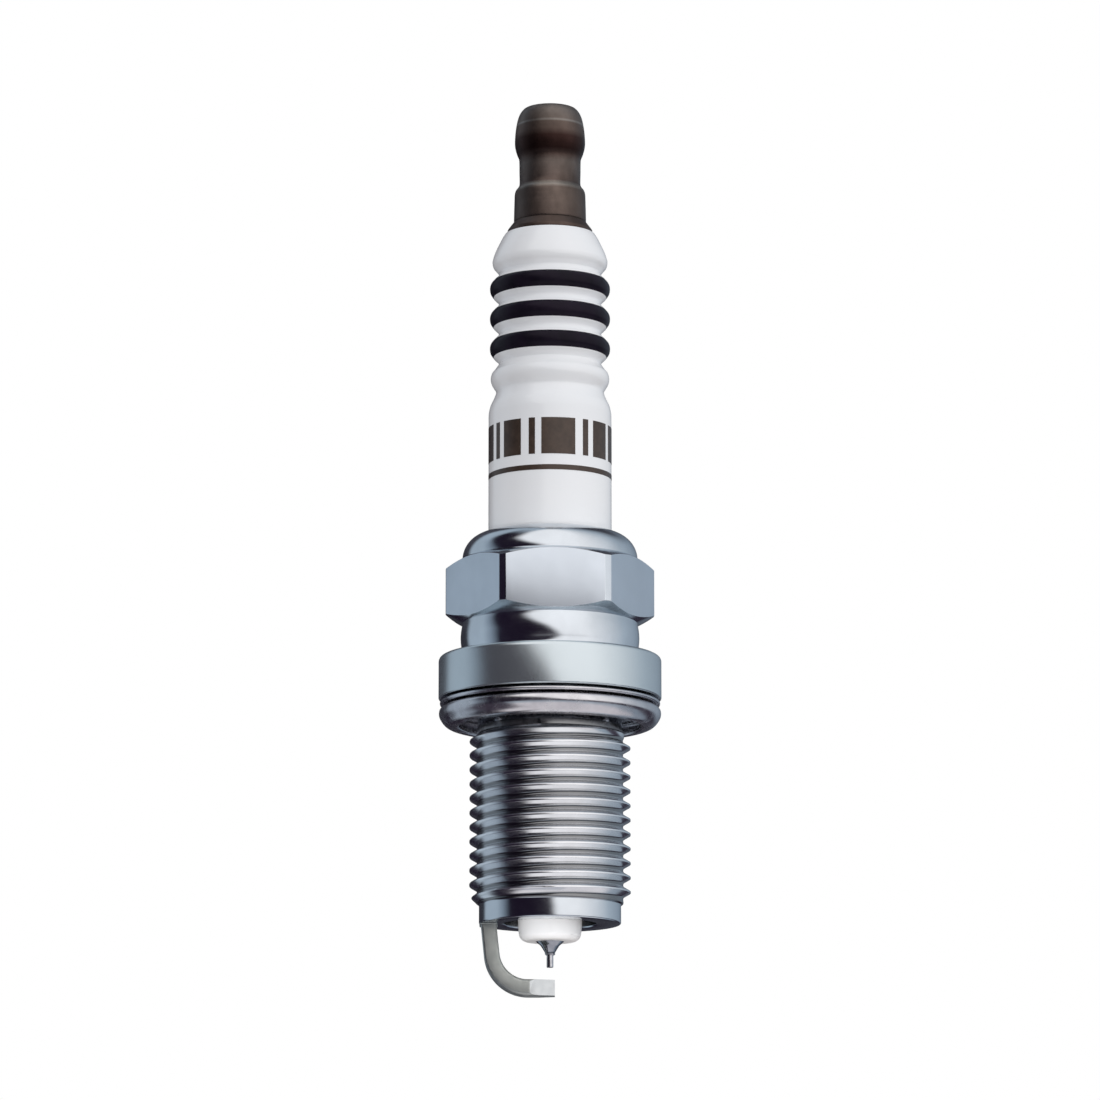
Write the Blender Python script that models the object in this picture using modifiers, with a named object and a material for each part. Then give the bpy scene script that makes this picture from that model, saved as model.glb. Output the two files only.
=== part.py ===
"""Spark plug, M14 x 1.25 thread, 19 mm reach, 16 mm hexagon, screw-on terminal nut.

The origin is on the plug's axis, in the plane of the shell's gasket seat. +Z points to the
terminal. Sizes below are in millimetres; MM turns them into Blender's metres.
"""
import math

import bmesh
import bpy

MM = 0.001
SEGMENTS = 32
FINE_SEGMENTS = 16
MERGE = 0.000001

# Metal shell, outside
FLANGE_RADIUS = 9.65
FLANGE_HEIGHT = 3.72
FLANGE_EDGE = 0.45
NECK_RADIUS = 7.67
HEX_ACROSS_FLATS = 16.0
HEX_TURNED_RADIUS = 9.06
HEX_CORNER_LOW = 7.42
HEX_CORNER_HIGH = 11.42
HEX_CHAMFER_SLOPE = 0.55
CRIMP_ROUND = 2.25
CRIMP_ROUND_Z = 12.28
SHELL_END_Z = -19.5
COLLAR_RADIUS = 6.11
COLLAR_TOP_Z = -17.75
RELIEF_RADIUS = 6.2
RELIEF_DEPTH = 2.45

# Metal shell, inside
SEAT_BORE_RADIUS = 6.55
SEAT_BORE_LOW_Z = 2.1
BODY_BORE_RADIUS = 4.75
LEDGE_RADIUS = 3.6
LEDGE_Z = -6.35
LEDGE_SLOPE = 0.55
LEDGE_BOTTOM_Z = -7.4
MOUTH_RADIUS = 4.0
LIP_RADIUS = 5.42
LIP_INNER_Z = 13.75
LIP_OUTER_Z = 12.75

# Mounting thread
THREAD_PITCH = 1.25
THREAD_CREST_RADIUS = 6.95
THREAD_ROOT_RADIUS = 6.3
THREAD_START_Z = -17.98
THREAD_TURNS = 12
THREAD_START_DEGREES = 4.0

# Gasket, a ring folded from one strip of sheet
GASKET_SHEET = 0.35
GASKET_TOP_Z = -0.36
GASKET_BOTTOM_Z = -2.27

# Insulator
INSULATOR_TOP_Z = 41.3
BODY_RADIUS = 5.36
GROOVE_RADIUS = 4.45
RIB_RADIUS = 5.26
WHITE_RIB_RADIUS = 5.18
TOP_RIB_Z = 36.38
RIB_PITCH = 2.68
SHOULDER_RADIUS = 6.45
SHOULDER_TOP_Z = 9.1
SHOULDER_LOW_Z = 3.4
LOWER_BODY_RADIUS = 4.62
NOSE_ROUND = 0.72
NOSE_TIP_Z = -21.0
STEM_BORE_RADIUS = 2.0
TIP_BORE_RADIUS = 1.24
BORE_STEP_Z = -4.6
GLAZE_DEPTH = 0.15

# Seal between insulator and shell, and the column in the insulator's bore
PACKING_WIRE_RADIUS = 0.49
PACKING_RING_RADIUS = 5.93
LOWER_PACKING_Z = 10.08
UPPER_PACKING_Z = 12.6
TALC_LOW_Z = 10.65
TALC_HIGH_Z = 12.02
PLATE_THICKNESS = 0.25
RESISTOR_TOP_Z = 10.0
RESISTOR_LOW_Z = 2.0

# Terminal
STUD_SHANK_RADIUS = 1.9
STUD_BOTTOM_Z = 13.6
STUD_TOP_Z = 50.9
STUD_THREAD_PITCH = 0.7
STUD_THREAD_ROOT = 1.62
STUD_THREAD_CREST = 2.0
STUD_THREAD_START_Z = 43.05
STUD_THREAD_TURNS = 10
STUD_FLARE_RADIUS = 3.75
NUT_BOTTOM_Z = 42.43
NUT_TOP_Z = 52.78
NUT_SKIRT_RADIUS = 3.18
NUT_BULB_RADIUS = 3.09
NUT_NECK_RADIUS = 2.7
NUT_BORE_RADIUS = 2.07

# Firing end
SHEATH_RADIUS = 1.18
SHEATH_HEAD_RADIUS = 1.88
SHEATH_TOP_Z = -3.0
CONE_TIP_Z = -22.0
CORE_RADIUS = 0.6
CORE_LOW_Z = -19.0
PIN_RADIUS = 0.29
PIN_TOP_Z = -21.7
PIN_END_Z = -23.22
STRAP_TURN_DEGREES = -3.4
STRAP_WIDTH = 2.7
STRAP_THICKNESS = 1.36
STRAP_RADIUS = 5.28
STRAP_LEG_Z = -24.34
STRAP_BEND = 3.15
STRAP_LEAN_DEGREES = 6.0
STRAP_TIP_X = 0.42
STRAP_TIP_WIDTH = 1.3
STRAP_TAPER = 2.15
STRAP_EDGE = 0.22

# Clearance between pieces that are pressed, crimped or cast together
FIT = 0.03


def clear_scene():
    for existing in list(bpy.data.objects):
        bpy.data.objects.remove(existing, do_unlink=True)


def make_collection(name):
    collection = bpy.data.collections.new(name)
    bpy.context.scene.collection.children.link(collection)
    return collection


def make_material(name, color, metallic, roughness):
    material = bpy.data.materials.new(name)
    material.use_nodes = True
    shader = material.node_tree.nodes["Principled BSDF"]
    shader.inputs["Base Color"].default_value = (*color, 1.0)
    shader.inputs["Metallic"].default_value = metallic
    shader.inputs["Roughness"].default_value = roughness
    return material


def link_mesh(name, mesh, collection, material=None):
    piece = bpy.data.objects.new(name, mesh)
    collection.objects.link(piece)
    if material is not None:
        mesh.materials.append(material)
    return piece


def arc(center_r, center_z, radius, start, end, steps):
    """Points of a round stretch of an outline, angles in degrees from the outward direction."""
    points = []
    for step in range(steps + 1):
        angle = math.radians(start + (end - start) * step / steps)
        points.append((center_r + radius * math.cos(angle), center_z + radius * math.sin(angle)))
    return points


def turned(name, outline, collection, material=None, closed=True, segments=SEGMENTS):
    """A turned solid. The outline runs down its outer side; closed joins its last point to its first."""
    count = len(outline)
    edges = [(i, i + 1) for i in range(count - 1)]
    if closed:
        edges.append((count - 1, 0))
    mesh = bpy.data.meshes.new(name)
    mesh.from_pydata([(r * MM, 0.0, z * MM) for r, z in outline], edges, [])
    piece = link_mesh(name, mesh, collection, material)
    screw = piece.modifiers.new("Turn", "SCREW")
    screw.axis = "Z"
    screw.angle = 2 * math.pi
    screw.steps = segments
    screw.render_steps = segments
    screw.use_merge_vertices = True
    screw.merge_threshold = MERGE
    return piece


def mesh_of(piece):
    """The piece's evaluated mesh; the piece itself is removed."""
    depsgraph = bpy.context.evaluated_depsgraph_get()
    mesh = bpy.data.meshes.new_from_object(piece.evaluated_get(depsgraph))
    bpy.data.objects.remove(piece, do_unlink=True)
    return mesh


def thread_ridge(name, collection, root, crest, pitch, start_z, turns, segments):
    """A helical ridge of 60 degree section, buried in its core and faded out at both ends."""
    buried = 0.2
    half_crest = pitch / 16
    half_base = half_crest + (crest - root + buried) * math.tan(math.radians(30))
    section = [
        (root - buried, half_base),
        (crest, half_crest),
        (crest, -half_crest),
        (root - buried, -half_base),
    ]
    ridge = turned(name, [(r, z + start_z) for r, z in section], collection, segments=segments)
    ridge.modifiers["Turn"].screw_offset = pitch * MM
    ridge.modifiers["Turn"].iterations = turns
    ridge.modifiers["Turn"].use_merge_vertices = False
    mesh = mesh_of(ridge)
    fade = 0.7 * pitch
    end_z = start_z + turns * pitch
    shape = bmesh.new()
    shape.from_mesh(mesh)
    bmesh.ops.remove_doubles(shape, verts=shape.verts, dist=MERGE)
    bmesh.ops.holes_fill(shape, edges=[e for e in shape.edges if e.is_boundary], sides=8)
    for vert in shape.verts:
        height = vert.co.z / MM
        radius = math.hypot(vert.co.x, vert.co.y) / MM
        share = min(1.0, max(0.15, (height - start_z) / fade), max(0.15, (end_z - height) / fade))
        wanted = root - buried + (radius - root + buried) * share
        vert.co.x *= wanted / radius
        vert.co.y *= wanted / radius
    bmesh.ops.remove_doubles(shape, verts=shape.verts, dist=MERGE)
    bmesh.ops.recalc_face_normals(shape, faces=shape.faces)
    shape.to_mesh(mesh)
    shape.free()
    helix = link_mesh(name, mesh, collection)
    helix.rotation_euler.z = math.radians(THREAD_START_DEGREES)
    return helix


def boolean(piece, other, operation):
    step = piece.modifiers.new(operation.title(), "BOOLEAN")
    step.operation = operation
    step.solver = "EXACT"
    step.object = other
    other.hide_render = True
    other.display_type = "WIRE"


def rib_heights():
    return [TOP_RIB_Z - RIB_PITCH * index for index in range(4)]


def glaze_skin(rib_z):
    """A dark rib's rounded crest, from the glaze's upper edge to its lower edge."""
    return [
        (4.95, rib_z + 0.7),
        (5.13, rib_z + 0.5),
        (RIB_RADIUS, rib_z + 0.08),
        (5.17, rib_z - 0.38),
        (4.93, rib_z - 0.73),
    ]


def under_glaze(rib_z, gap):
    """The plain line below the glaze, gap away from its underside and from both its edges."""
    depth = GLAZE_DEPTH + gap
    return [
        (4.95 - depth, rib_z + 0.7 + gap),
        (5.1 - depth, rib_z + 0.3),
        (5.08 - depth, rib_z - 0.4),
        (4.93 - depth, rib_z - 0.73 - gap),
    ]


def metal_shell(parts, cutters, material):
    """Hexagon, flange, crimped lip and mounting thread, all one forged and rolled steel piece."""
    outline = [(0.0, CRIMP_ROUND_Z + CRIMP_ROUND)]
    outline += arc(BODY_RADIUS, CRIMP_ROUND_Z, CRIMP_ROUND, 88, 0, 8)
    outline += [
        (NECK_RADIUS, HEX_CORNER_LOW),
        (NECK_RADIUS, FLANGE_HEIGHT),
    ]
    edge_r = FLANGE_RADIUS - FLANGE_EDGE
    outline += arc(edge_r, FLANGE_HEIGHT - FLANGE_EDGE, FLANGE_EDGE, 90, 0, 3)
    outline += [
        (FLANGE_RADIUS, 0.2),
        (FLANGE_RADIUS - 0.15, 0.0),
        (RELIEF_RADIUS, 0.0),
        (RELIEF_RADIUS, -RELIEF_DEPTH),
        (THREAD_ROOT_RADIUS, -RELIEF_DEPTH - 0.1),
        (THREAD_ROOT_RADIUS, COLLAR_TOP_Z + 0.15),
        (COLLAR_RADIUS, COLLAR_TOP_Z),
        (COLLAR_RADIUS, SHELL_END_Z + 0.1),
        (COLLAR_RADIUS - 0.1, SHELL_END_Z),
        (0.0, SHELL_END_Z),
    ]
    shell = turned("metal_shell", outline, parts, material, closed=False)

    hexagon_mesh = bpy.data.meshes.new("hexagon")
    shape = bmesh.new()
    corner_radius = HEX_ACROSS_FLATS / 2 / math.cos(math.radians(30)) * MM
    bmesh.ops.create_cone(
        shape, cap_ends=True, segments=6, radius1=corner_radius, radius2=corner_radius, depth=9 * MM
    )
    shape.to_mesh(hexagon_mesh)
    shape.free()
    hexagon = link_mesh("hexagon", hexagon_mesh, cutters)
    hexagon.rotation_euler.z = math.radians(30)
    hexagon.location.z = (HEX_CORNER_LOW + HEX_CORNER_HIGH) / 2 * MM

    inner = 7.0
    rise = (HEX_TURNED_RADIUS - inner) * HEX_CHAMFER_SLOPE
    blank = turned(
        "hexagon_blank",
        [
            (0.0, HEX_CORNER_HIGH + rise),
            (inner, HEX_CORNER_HIGH + rise),
            (HEX_TURNED_RADIUS, HEX_CORNER_HIGH),
            (HEX_TURNED_RADIUS, HEX_CORNER_LOW),
            (inner, HEX_CORNER_LOW - rise),
            (0.0, HEX_CORNER_LOW - rise),
        ],
        cutters,
        closed=False,
        segments=2 * SEGMENTS,
    )
    boolean(hexagon, blank, "INTERSECT")

    ridge = thread_ridge(
        "thread_ridge",
        cutters,
        THREAD_ROOT_RADIUS,
        THREAD_CREST_RADIUS,
        THREAD_PITCH,
        THREAD_START_Z,
        THREAD_TURNS,
        SEGMENTS,
    )
    beyond = 1.0
    bore = turned(
        "shell_bore",
        [
            (0.0, CRIMP_ROUND_Z + CRIMP_ROUND + beyond),
            (LIP_RADIUS, CRIMP_ROUND_Z + CRIMP_ROUND + beyond),
            (LIP_RADIUS, LIP_INNER_Z),
            (SEAT_BORE_RADIUS, LIP_OUTER_Z),
            (SEAT_BORE_RADIUS, SEAT_BORE_LOW_Z),
            (BODY_BORE_RADIUS, SEAT_BORE_LOW_Z - 1.2),
            (BODY_BORE_RADIUS, LEDGE_Z + (BODY_BORE_RADIUS - LEDGE_RADIUS) * LEDGE_SLOPE),
            (LEDGE_RADIUS, LEDGE_Z),
            (LEDGE_RADIUS, LEDGE_BOTTOM_Z),
            (MOUTH_RADIUS, LEDGE_BOTTOM_Z - 0.4),
            (MOUTH_RADIUS, SHELL_END_Z - beyond),
            (0.0, SHELL_END_Z - beyond),
        ],
        cutters,
        closed=False,
    )
    boolean(shell, hexagon, "UNION")
    boolean(shell, ridge, "UNION")
    boolean(shell, bore, "DIFFERENCE")
    return shell


def plate_packing(parts, material):
    """Thin conical washer between the insulator's lower shoulder and the shell's ledge."""
    inner, outer = LEDGE_RADIUS + 0.05, BODY_BORE_RADIUS - 0.15

    def ledge(radius):
        return LEDGE_Z + (radius - LEDGE_RADIUS) * LEDGE_SLOPE + FIT

    outline = [
        (outer, ledge(outer) + PLATE_THICKNESS),
        (outer, ledge(outer)),
        (inner, ledge(inner)),
        (inner, ledge(inner) + PLATE_THICKNESS),
    ]
    return turned("plate_packing", outline, parts, material)


def ring_packing(name, height, parts, material):
    """Soft steel wire ring beside the insulator, under the crimped lip."""
    section = arc(PACKING_RING_RADIUS, height, PACKING_WIRE_RADIUS, 90, -210, 5)
    return turned(name, section, parts, material)


def talc_filling(parts, material):
    inner, outer = BODY_RADIUS + FIT, SEAT_BORE_RADIUS - FIT
    outline = [(outer, TALC_HIGH_Z), (outer, TALC_LOW_Z), (inner, TALC_LOW_Z), (inner, TALC_HIGH_Z)]
    return turned("talc_filling", outline, parts, material)


def insulator(parts, material):
    ribs = rib_heights()
    outline = [
        (3.95, INSULATOR_TOP_Z),
        (4.2, 40.9),
        (4.5, 40.3),
        (4.8, 39.65),
        (5.0, 39.05),
        (5.04, 38.75),
        (4.95, 38.4),
        (4.7, 38.1),
        (GROOVE_RADIUS + 0.03, 37.8),
    ]
    for rib_z in ribs[:3]:
        outline += [
            (GROOVE_RADIUS + 0.03, rib_z + 1.2),
            (4.86, rib_z + 0.82),
            (4.95, rib_z + 0.7 + FIT),
        ]
        outline += under_glaze(rib_z, FIT)
        outline += [
            (4.93, rib_z - 0.73 - FIT),
            (4.6, rib_z - 1.05),
        ]
    white = ribs[3]
    outline += [
        (GROOVE_RADIUS, white + 1.3),
        (4.84, white + 0.75),
        (5.08, white + 0.45),
        (WHITE_RIB_RADIUS, white),
        (5.08, white - 0.45),
        (4.76, white - 1.0),
        (4.72, 27.05),
        (4.92, 26.5),
        (5.2, 25.9),
        (BODY_RADIUS, 25.1),
        (BODY_RADIUS, SHOULDER_TOP_Z + 0.7),
        (SHOULDER_RADIUS, SHOULDER_TOP_Z),
        (SHOULDER_RADIUS, SHOULDER_LOW_Z),
        (LOWER_BODY_RADIUS, SHOULDER_LOW_Z - 1.2),
    ]
    seat_gap = PLATE_THICKNESS + 2 * FIT
    shoulder_inner = LEDGE_RADIUS - 0.18
    for radius in (LOWER_BODY_RADIUS, shoulder_inner):
        outline.append((radius, LEDGE_Z + (radius - LEDGE_RADIUS) * LEDGE_SLOPE + seat_gap))
    outline += [
        (3.36, LEDGE_BOTTOM_Z),
        (2.74, SHELL_END_Z),
        (2.7, -20.15),
    ]
    outline += arc(1.95, NOSE_TIP_Z + NOSE_ROUND, NOSE_ROUND, 0, -90, 4)
    outline += [
        (TIP_BORE_RADIUS, NOSE_TIP_Z),
        (TIP_BORE_RADIUS, BORE_STEP_Z),
        (STEM_BORE_RADIUS, BORE_STEP_Z + 0.5),
        (STEM_BORE_RADIUS, INSULATOR_TOP_Z),
    ]
    return turned("insulator", outline, parts, material)


def glaze_bands(parts, material):
    """Fired black bands round the crests of the three upper ribs."""
    for place, rib_z in zip(("upper", "middle", "lower"), rib_heights()):
        outline = glaze_skin(rib_z) + under_glaze(rib_z, 0.0)[::-1]
        turned("black_band_" + place, outline, parts, material)


def filler(name, radius, high, low, parts, material):
    """One plug of the column that fills the insulator's bore."""
    outline = [(0.0, high), (radius, high), (radius, low), (0.0, low)]
    return turned(name, outline, parts, material, closed=False)


def bore_column(parts, glass, carbon):
    radius = STEM_BORE_RADIUS - FIT
    filler("upper_glass_seal", radius, STUD_BOTTOM_Z - FIT, RESISTOR_TOP_Z + FIT, parts, glass)
    filler("resistor_element", radius, RESISTOR_TOP_Z, RESISTOR_LOW_Z + FIT, parts, carbon)
    filler("lower_glass_seal", radius, RESISTOR_LOW_Z, SHEATH_TOP_Z + FIT, parts, glass)


def terminal_stud(parts, cutters, material):
    """Threaded top, flared collar that sits on the insulator, shank down the bore, grooved foot."""
    collar_low = INSULATOR_TOP_Z + FIT
    outline = [
        (0.0, STUD_TOP_Z),
        (STUD_THREAD_ROOT - 0.4, STUD_TOP_Z),
        (STUD_THREAD_ROOT, STUD_TOP_Z - 0.4),
        (STUD_THREAD_ROOT, NUT_BOTTOM_Z - FIT),
        (NUT_SKIRT_RADIUS, NUT_BOTTOM_Z - FIT),
        (STUD_FLARE_RADIUS, collar_low + 0.32),
        (STUD_FLARE_RADIUS, collar_low),
        (STUD_SHANK_RADIUS, collar_low),
    ]
    groove_pitch = 1.0
    groove_depth = 0.2
    groove_count = 4
    groove_top = STUD_BOTTOM_Z + 0.6 + groove_count * groove_pitch
    for index in range(groove_count):
        height = groove_top - index * groove_pitch
        outline += [
            (STUD_SHANK_RADIUS, height),
            (STUD_SHANK_RADIUS - groove_depth, height - groove_pitch / 4),
            (STUD_SHANK_RADIUS - groove_depth, height - groove_pitch / 2),
            (STUD_SHANK_RADIUS, height - 3 * groove_pitch / 4),
        ]
    outline += [
        (STUD_SHANK_RADIUS, STUD_BOTTOM_Z + 0.3),
        (STUD_SHANK_RADIUS - 0.3, STUD_BOTTOM_Z),
        (0.0, STUD_BOTTOM_Z),
    ]
    stud = turned("terminal_stud", outline, parts, material, closed=False, segments=FINE_SEGMENTS)
    ridge = thread_ridge(
        "stud_thread_ridge",
        cutters,
        STUD_THREAD_ROOT,
        STUD_THREAD_CREST,
        STUD_THREAD_PITCH,
        STUD_THREAD_START_Z,
        STUD_THREAD_TURNS,
        FINE_SEGMENTS,
    )
    boolean(stud, ridge, "UNION")
    return stud


def terminal_nut(parts, material):
    """Cap that screws on the stud: a bulb for the ignition cap's clip, a neck and a skirt."""
    outline = [
        (0.0, NUT_TOP_Z),
        (1.9, NUT_TOP_Z),
        (2.36, 52.62),
        (2.66, 52.2),
        (2.87, 51.6),
        (3.03, 50.7),
        (NUT_BULB_RADIUS, 49.8),
        (3.06, 49.2),
        (2.9, 48.6),
        (2.74, 48.2),
        (NUT_NECK_RADIUS, 47.85),
        (NUT_NECK_RADIUS - 0.02, 45.85),
        (2.86, 45.45),
        (3.07, 45.05),
        (3.12, 44.8),
        (NUT_SKIRT_RADIUS, NUT_BOTTOM_Z),
        (NUT_BORE_RADIUS, NUT_BOTTOM_Z),
        (NUT_BORE_RADIUS, STUD_TOP_Z + 0.2),
        (0.0, STUD_TOP_Z + 0.6),
    ]
    return turned("terminal_nut", outline, parts, material, closed=False)


def centre_electrode(parts, nickel, copper, iridium):
    """Nickel sheath round a copper core, with a fine iridium pin welded into its cone."""
    pocket = PIN_RADIUS + FIT
    well = CORE_RADIUS + FIT
    sheath = [
        (0.0, CORE_LOW_Z - 0.4),
        (well, CORE_LOW_Z),
        (well, SHEATH_TOP_Z),
        (SHEATH_HEAD_RADIUS, SHEATH_TOP_Z),
        (SHEATH_HEAD_RADIUS, BORE_STEP_Z + 0.55),
        (SHEATH_RADIUS, BORE_STEP_Z + 0.05),
        (SHEATH_RADIUS, NOSE_TIP_Z - 0.06),
        (0.46, CONE_TIP_Z),
        (pocket, CONE_TIP_Z),
        (pocket, PIN_TOP_Z + FIT),
        (0.0, PIN_TOP_Z + FIT),
    ]
    turned("centre_electrode_sheath", sheath, parts, nickel, False, FINE_SEGMENTS)
    core = [
        (0.0, SHEATH_TOP_Z),
        (CORE_RADIUS, SHEATH_TOP_Z),
        (CORE_RADIUS, CORE_LOW_Z),
        (0.0, CORE_LOW_Z - 0.35),
    ]
    turned("centre_electrode_copper_core", core, parts, copper, False, FINE_SEGMENTS)
    bead = arc(PIN_RADIUS + FIT, CONE_TIP_Z - FIT, 0.13, 0, -90, 3)
    bead.append((PIN_RADIUS + FIT, CONE_TIP_Z - FIT))
    turned("pin_weld_bead", bead, parts, iridium, True, FINE_SEGMENTS)
    edge = 0.05
    pin = [
        (0.0, PIN_TOP_Z),
        (PIN_RADIUS, PIN_TOP_Z),
        (PIN_RADIUS, PIN_END_Z + edge),
        (PIN_RADIUS - edge, PIN_END_Z),
        (0.0, PIN_END_Z),
    ]
    turned("iridium_pin", pin, parts, iridium, False, FINE_SEGMENTS)


def strap_outline():
    """Side view of the ground strap as two offset lines, from the weld round the bend to the tip."""
    lean = math.radians(STRAP_LEAN_DEGREES)
    leg_x = -STRAP_RADIUS
    top_z = SHELL_END_Z - FIT
    center_z = STRAP_LEG_Z - STRAP_THICKNESS / 2 + STRAP_BEND
    foot_length = (top_z - center_z) / math.cos(lean) + STRAP_BEND * math.tan(lean)
    center_x = leg_x + foot_length * math.sin(lean) + STRAP_BEND * math.cos(lean)
    sides = []
    for offset in (STRAP_THICKNESS / 2, -STRAP_THICKNESS / 2):
        radius = STRAP_BEND + offset
        side = [(leg_x - offset, top_z)]
        side += arc(center_x, center_z, radius, 180 + STRAP_LEAN_DEGREES, 270, 10)
        side.append((STRAP_TIP_X, side[-1][1]))
        sides.append(side)
    return sides[0] + sides[1][::-1]


def ground_strap(parts, cutters, material):
    """Bent rectangular wire, welded to the shell's end, its tip trimmed to a narrow nose."""
    mesh = bpy.data.meshes.new("ground_strap")
    shape = bmesh.new()
    half = STRAP_WIDTH / 2
    ring = [shape.verts.new((x * MM, -half * MM, z * MM)) for x, z in strap_outline()]
    side = shape.faces.new(ring)
    grown = bmesh.ops.extrude_face_region(shape, geom=[side])
    moved = [item for item in grown["geom"] if isinstance(item, bmesh.types.BMVert)]
    bmesh.ops.translate(shape, verts=moved, vec=(0, STRAP_WIDTH * MM, 0))
    bmesh.ops.recalc_face_normals(shape, faces=shape.faces)
    shape.to_mesh(mesh)
    shape.free()
    strap = link_mesh("ground_strap", mesh, parts, material)
    strap.rotation_euler.z = math.radians(STRAP_TURN_DEGREES)

    rounding = strap.modifiers.new("Rounded edges", "BEVEL")
    rounding.width = STRAP_EDGE * MM
    rounding.segments = 2
    rounding.limit_method = "ANGLE"
    rounding.angle_limit = math.radians(50)

    reach = STRAP_TIP_X - STRAP_TAPER
    slope = math.atan2((STRAP_WIDTH - STRAP_TIP_WIDTH) / 2, STRAP_TAPER)
    for name, sign in (("strap_trim_front", -1), ("strap_trim_back", 1)):
        trim_mesh = bpy.data.meshes.new(name)
        shape = bmesh.new()
        bmesh.ops.create_cube(shape, size=6 * MM)
        bmesh.ops.translate(shape, verts=shape.verts, vec=(0, sign * 3 * MM, 0))
        shape.to_mesh(trim_mesh)
        shape.free()
        trim = link_mesh(name, trim_mesh, cutters)
        trim.rotation_euler.z = -sign * slope
        trim.location = (reach * MM, sign * half * MM, (STRAP_LEG_Z - STRAP_THICKNESS / 2) * MM)
        turn = bpy.data.objects.new(name + "_turn", None)
        cutters.objects.link(turn)
        turn.rotation_euler.z = math.radians(STRAP_TURN_DEGREES)
        trim.parent = turn
        boolean(strap, trim, "DIFFERENCE")
    return strap


def gasket(parts, material):
    """Loose sealing ring, folded from sheet: an upper lip, an inner fold and a hooked lower edge."""
    line = [(9.42, GASKET_TOP_Z), (7.1, GASKET_TOP_Z)]
    line += arc(7.1, GASKET_TOP_Z - 0.235, 0.235, 90, 270, 2)[1:]
    line += [
        (9.05, GASKET_TOP_Z - 0.47),
        (9.45, GASKET_TOP_Z - 0.72),
        (9.3, GASKET_TOP_Z - 1.3),
        (8.95, GASKET_BOTTOM_Z + 0.12),
        (8.7, GASKET_BOTTOM_Z),
        (8.05, GASKET_BOTTOM_Z),
    ]
    ring = turned("gasket", line, parts, material, closed=False)
    sheet = ring.modifiers.new("Sheet", "SOLIDIFY")
    sheet.thickness = GASKET_SHEET * MM
    sheet.offset = 0.0
    sheet.use_even_offset = True
    return ring


def main():
    clear_scene()
    parts = make_collection("spark_plug")
    cutters = make_collection("cutters")
    plated = make_material("plated_steel", (0.6, 0.64, 0.68), 1.0, 0.25)
    soft_steel = make_material("soft_steel", (0.62, 0.62, 0.64), 1.0, 0.3)
    ceramic = make_material("alumina", (0.88, 0.88, 0.89), 0.0, 0.12)
    glaze = make_material("black_glaze", (0.012, 0.009, 0.016), 0.0, 0.25)
    bronze = make_material("browned_steel", (0.07, 0.045, 0.038), 0.9, 0.35)
    nickel = make_material("nickel_alloy", (0.42, 0.44, 0.45), 1.0, 0.35)
    copper = make_material("copper", (0.75, 0.36, 0.22), 1.0, 0.3)
    iridium = make_material("iridium", (0.5, 0.5, 0.53), 1.0, 0.3)
    glass = make_material("conductive_glass", (0.09, 0.07, 0.06), 0.2, 0.4)
    carbon = make_material("carbon_glass", (0.03, 0.03, 0.03), 0.0, 0.7)
    talc = make_material("talc", (0.78, 0.77, 0.74), 0.0, 0.9)

    metal_shell(parts, cutters, plated)
    gasket(parts, soft_steel)
    plate_packing(parts, soft_steel)
    ring_packing("lower_ring_packing", LOWER_PACKING_Z, parts, soft_steel)
    talc_filling(parts, talc)
    ring_packing("upper_ring_packing", UPPER_PACKING_Z, parts, soft_steel)
    insulator(parts, ceramic)
    glaze_bands(parts, glaze)
    bore_column(parts, glass, carbon)
    terminal_stud(parts, cutters, bronze)
    terminal_nut(parts, bronze)
    centre_electrode(parts, nickel, copper, iridium)
    ground_strap(parts, cutters, nickel)


main()
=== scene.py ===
"""Looks of the spark plug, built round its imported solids.

Sizes in the outlines are millimetres, radius then height, and MM turns them into metres. The frame
is the plug's own: z = 0 is the gasket seat under the flange, and +Z points to the terminal.
"""
import math

import bmesh
import bpy
from mathutils import Matrix, Vector


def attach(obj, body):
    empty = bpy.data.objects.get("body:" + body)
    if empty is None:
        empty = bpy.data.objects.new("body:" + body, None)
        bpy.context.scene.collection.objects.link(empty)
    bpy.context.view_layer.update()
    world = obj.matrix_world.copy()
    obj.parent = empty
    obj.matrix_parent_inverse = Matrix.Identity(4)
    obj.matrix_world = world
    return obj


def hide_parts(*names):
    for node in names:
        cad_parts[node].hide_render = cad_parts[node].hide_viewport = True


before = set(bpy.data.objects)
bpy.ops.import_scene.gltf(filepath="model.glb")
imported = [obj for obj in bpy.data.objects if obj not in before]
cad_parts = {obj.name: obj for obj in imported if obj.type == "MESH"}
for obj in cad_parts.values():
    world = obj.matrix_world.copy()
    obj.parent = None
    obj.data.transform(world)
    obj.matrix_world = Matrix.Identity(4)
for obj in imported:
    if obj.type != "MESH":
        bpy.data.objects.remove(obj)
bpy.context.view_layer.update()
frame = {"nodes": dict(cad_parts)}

MM = 0.001
AROUND = 192
AROUND_SMALL = 96
MERGE = 0.0000005

# Heights and radii that several pieces share
SEAM_Z = -2.45
SHELL_END_Z = -19.5
BODY_BORE_RADIUS = 4.75
BODY_RADIUS = 5.36
RIB_TOP_Z = 36.38
RIB_PITCH = 2.68
GLAZE_DEPTH = 0.12
STUD_COLLAR_Z = 42.4
STUD_CORE = 1.62
THREAD_CORE = 6.3
THREAD_CREST = 6.95
THREAD_PITCH = 1.25
RELIEF_RADIUS = 6.2
NECK_RADIUS = 7.6
NECK_BULGE = 0.15
NECK_TOP_Z = 6.6
NECK_LENGTH = 2.5
FLANGE_RADIUS = 9.65
FLANGE_TOP_Z = 3.72
HEXAGON_LOW_Z = 7.42
HEXAGON_HIGH_Z = 11.42

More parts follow.
